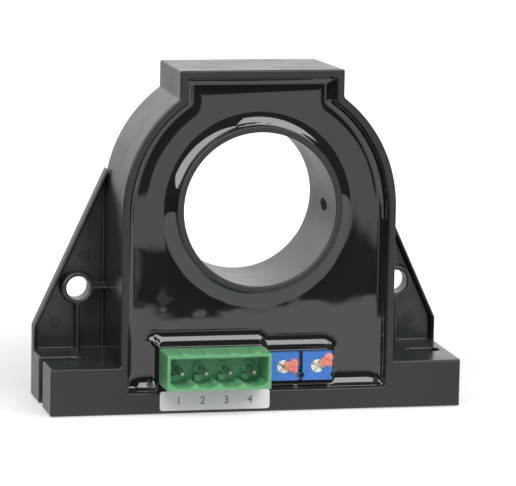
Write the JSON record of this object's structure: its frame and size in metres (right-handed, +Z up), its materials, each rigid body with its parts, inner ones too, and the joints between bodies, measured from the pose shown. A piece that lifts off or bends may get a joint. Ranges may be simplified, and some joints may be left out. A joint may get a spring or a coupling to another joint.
{
  "type": "hall effect current sensor",
  "caption": "Round-window hall effect current sensor in a potted arch casing with wing plates, slotted feet, a plug-in terminal header and sealed trimmers.",
  "frame": {"origin": "middle of the casing's footprint, on the mounting surface", "axes": "+X to the right across the width, -Y towards the potted front with the terminals, +Z up; the window's axis is along Y"},
  "size_m": [0.088, 0.0316, 0.0721],
  "materials": {
    "casing": "black moulded plastic, glossy",
    "potting": "black casting resin, very glossy",
    "core_steel": "wound strip",
    "chip_black": "satin",
    "tin": "tinned",
    "spacer": "satin",
    "board": "solder mask",
    "header_green": "satin, slightly see-through",
    "trimmer_blue": "satin",
    "rotor_cream": "satin",
    "lacquer_red": "sealing lacquer",
    "capacitor_tan": "fired",
    "label_white": "film label"
  },
  "bodies": {
    "root": {"casing": "casing", "potting": "potting", "core": "core_steel", "hall_chip": "chip_black", "hall_lead_1": "tin", "hall_lead_2": "tin", "hall_lead_3": "tin", "gap_spacer": "spacer", "main_board": "board", "header_housing": "header_green", "header_pin_1": "tin", "header_pin_2": "tin", "header_pin_3": "tin", "header_pin_4": "tin", "trimmer_body_1": "trimmer_blue", "trimmer_body_2": "trimmer_blue", "trimmer_rotor_1": "rotor_cream", "trimmer_rotor_2": "rotor_cream", "trimmer_leads_1": "tin", "trimmer_leads_2": "tin", "lacquer_1": "lacquer_red", "lacquer_2": "lacquer_red", "amplifier_body": "chip_black", "amplifier_leads": "tin", "regulator_body": "chip_black", "regulator_leads": "tin", "resistor_1": "chip_black", "resistor_2": "chip_black", "resistor_3": "chip_black", "resistor_4": "chip_black", "capacitor_1": "capacitor_tan", "capacitor_2": "capacitor_tan", "diode_1": "chip_black", "diode_2": "chip_black", "label": "label_white"}
  },
  "joints": []
}
